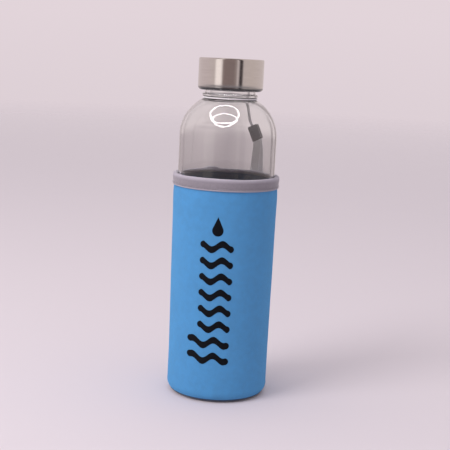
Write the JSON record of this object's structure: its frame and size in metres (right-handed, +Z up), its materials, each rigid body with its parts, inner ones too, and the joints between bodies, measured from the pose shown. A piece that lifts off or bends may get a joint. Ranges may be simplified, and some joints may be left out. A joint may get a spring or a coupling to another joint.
{
  "type": "glass water bottle",
  "caption": "Glass water bottle with a brushed steel screw cap, a padded knit sleeve bound with tape and a woven wrist strap on a thin neck cord.",
  "frame": {"origin": "centre of the sleeve's underside, on the surface the bottle stands on", "axes": "+Z up along the bottle's axis, -Y towards the printed front, +X to the right seen from the front"},
  "size_m": [0.0702, 0.0847, 0.22],
  "materials": {
    "clear_glass": "clear blown glass with a faint green tint",
    "cap_steel": "stainless steel brushed round the cap",
    "cap_plastic": "moulded natural polypropylene",
    "gasket_silicone": "soft white silicone",
    "sleeve_knit": "fine sky blue knit over foam",
    "sleeve_foam": "closed-cell black foam",
    "lining_knit": "fine black knit",
    "binding_tape": "grey ribbed tape with a slight sheen",
    "binding_thread": "grey polyester thread",
    "seam_thread": "blue polyester thread",
    "base_thread": "dark navy polyester thread",
    "print_film": "black heat-transfer film",
    "strap_cord": "thin braided grey cord",
    "clamp_plastic": "dark moulded plastic",
    "strap_webbing": "flat woven grey strap"
  },
  "bodies": {
    "sleeve": {"sleeve_jersey": "sleeve_knit", "sleeve_foam": "sleeve_foam", "sleeve_lining": "lining_knit", "base_jersey": "sleeve_knit", "base_foam": "sleeve_foam", "sleeve_binding": "binding_tape", "binding_overlap": "binding_tape", "binding_stitch": "binding_thread", "back_seam_stitch": "seam_thread", "base_seam_stitch": "base_thread", "print_motif": "print_film"},
    "bottle": {"glass_bottle": "clear_glass"},
    "gasket": {"cap_seal": "gasket_silicone"},
    "cap": {"cap_shell": "cap_steel", "cap_insert": "cap_plastic"},
    "neck_ring": {"neck_loop": "strap_cord"},
    "strap": {"strap_strands": "strap_cord", "strap_clamp": "clamp_plastic", "webbing_loop": "strap_webbing"}
  },
  "joints": [
    {"name": "bottle_pull_out", "type": "slide", "parent": "sleeve", "child": "bottle", "axis": [0, 0, 1], "range_m": [0, 0.15]},
    {"name": "cap_lift", "type": "slide", "parent": "bottle", "child": "gasket", "axis": [0, 0, 1], "range_m": [0, 0.0181]},
    {"name": "cap_turn", "type": "hinge", "parent": "gasket", "child": "cap", "pos_m": [0, 0, 0.2], "axis": [0, 0, 1], "range_deg": [0, 1620]},
    {"name": "strap_swivel", "type": "hinge", "parent": "bottle", "child": "neck_ring", "pos_m": [0, 0, 0.19479], "axis": [0, 0, 1], "continuous": true},
    {"name": "strap_swing", "type": "hinge", "parent": "neck_ring", "child": "strap", "pos_m": [0.01209, 0.01421, 0.1943], "axis": [0.8387, -0.5446, 0], "range_deg": [0, 65]}
  ],
  "couplings": [
    {"joint": "cap_lift", "follows": "cap_turn", "m_per_rad": 0.00063662}
  ]
}
